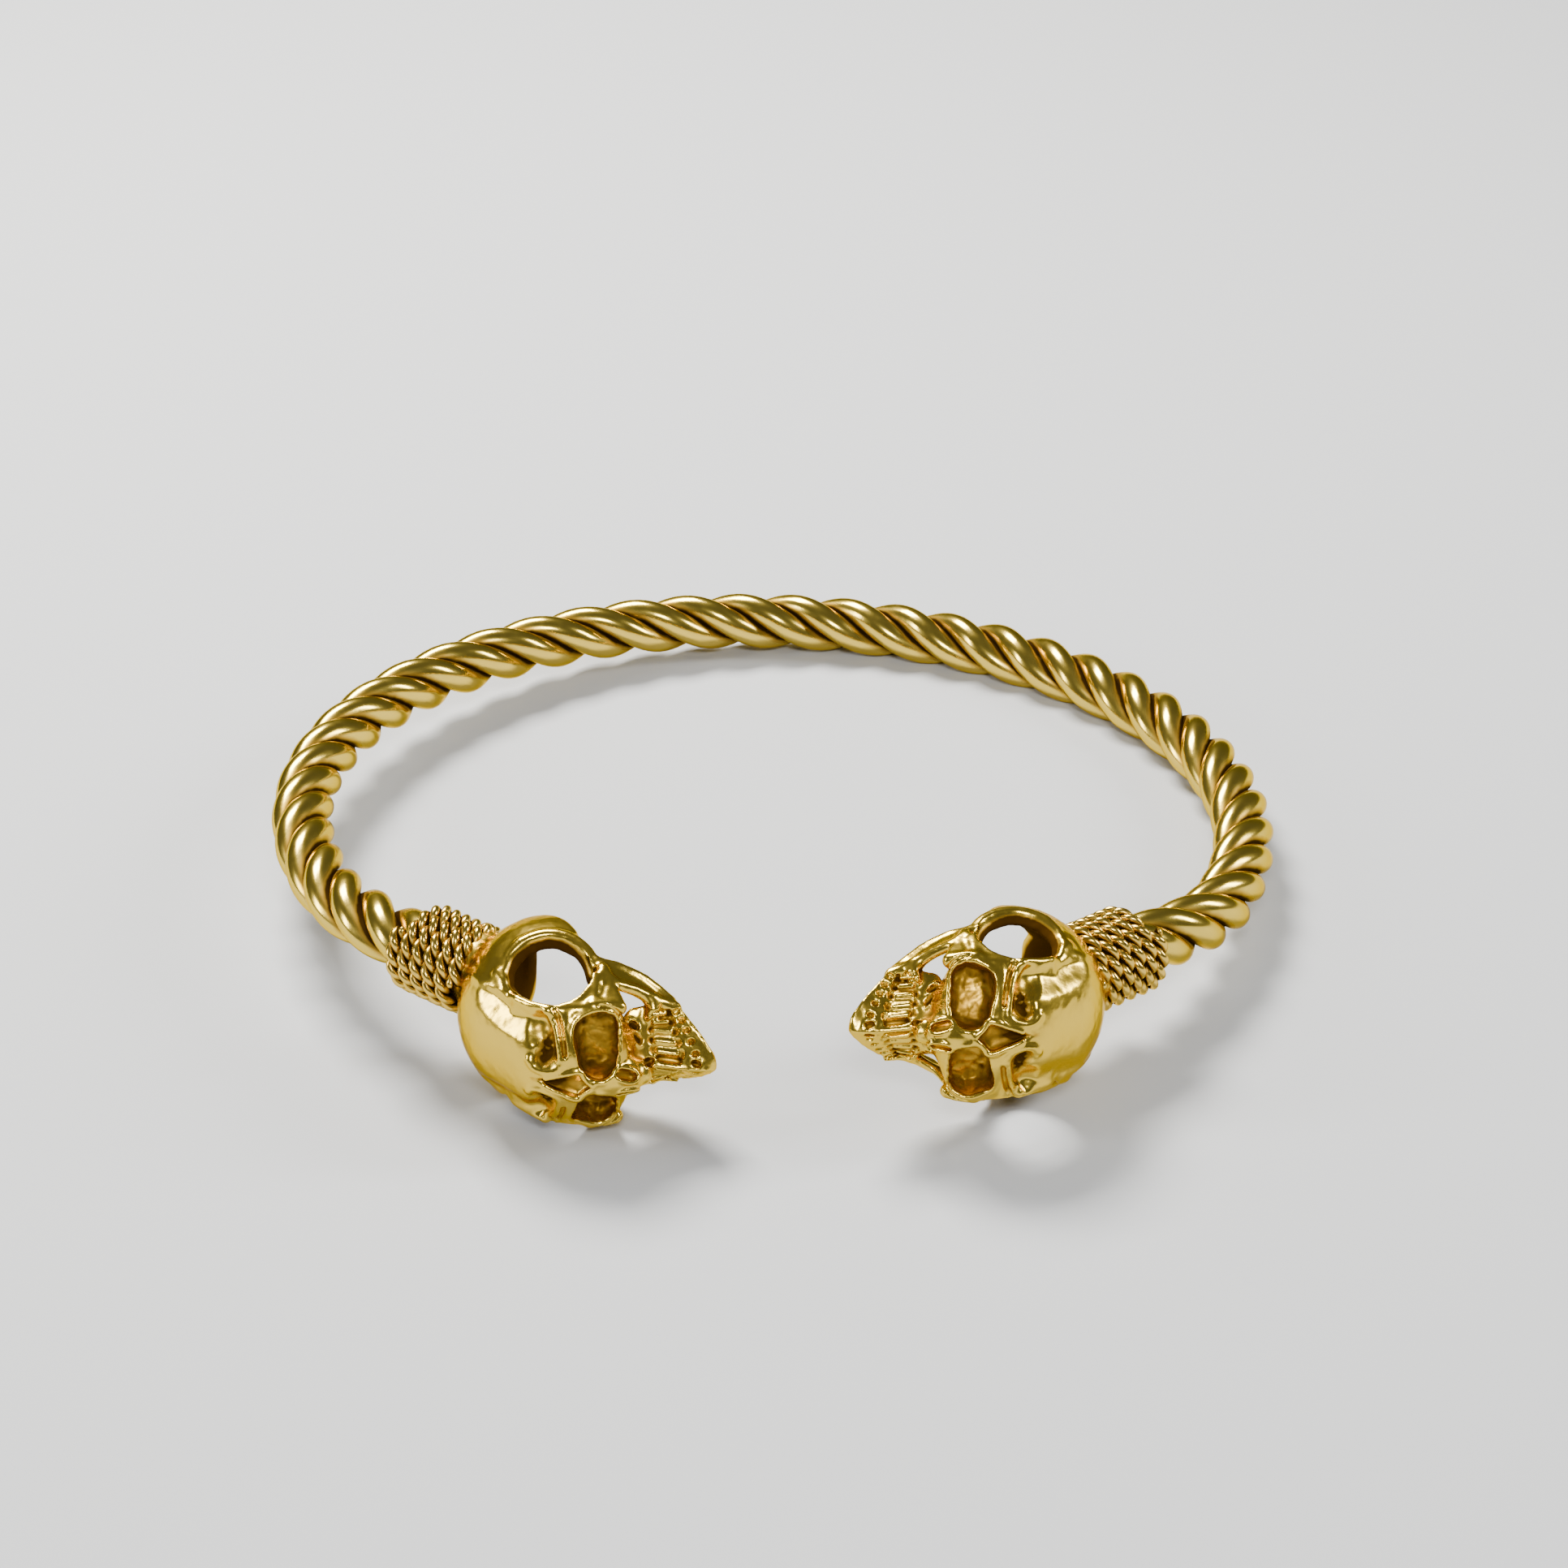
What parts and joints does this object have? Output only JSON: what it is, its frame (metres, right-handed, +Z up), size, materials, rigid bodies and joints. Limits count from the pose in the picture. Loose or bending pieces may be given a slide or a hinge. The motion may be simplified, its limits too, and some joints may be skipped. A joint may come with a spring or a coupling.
{
  "type": "skull cuff bangle",
  "caption": "Open cuff bangle: a twisted rope of round strands bound with wire at both ends, each ending in a hollow skull that faces across the gap.",
  "frame": {"origin": "middle of the bounding box's base, on the surface that the bangle lies on", "axes": "+Z up from the surface, -Y from the middle of the ring to the gap, +X to the right skull seen from the gap's side"},
  "size_m": [0.0678, 0.0694, 0.0125],
  "materials": {
    "polished_gold": "polished, brown in the grooves",
    "antiqued_gold": "bright on top, dark in the grooves",
    "cast_gold": "polished casting, dark in the recesses"
  },
  "bodies": {
    "root": {"strand_1": "polished_gold", "strand_2": "polished_gold", "strand_3": "polished_gold", "binding_left": "antiqued_gold", "binding_right": "antiqued_gold", "skull_left": "cast_gold", "skull_right": "cast_gold"}
  },
  "joints": []
}
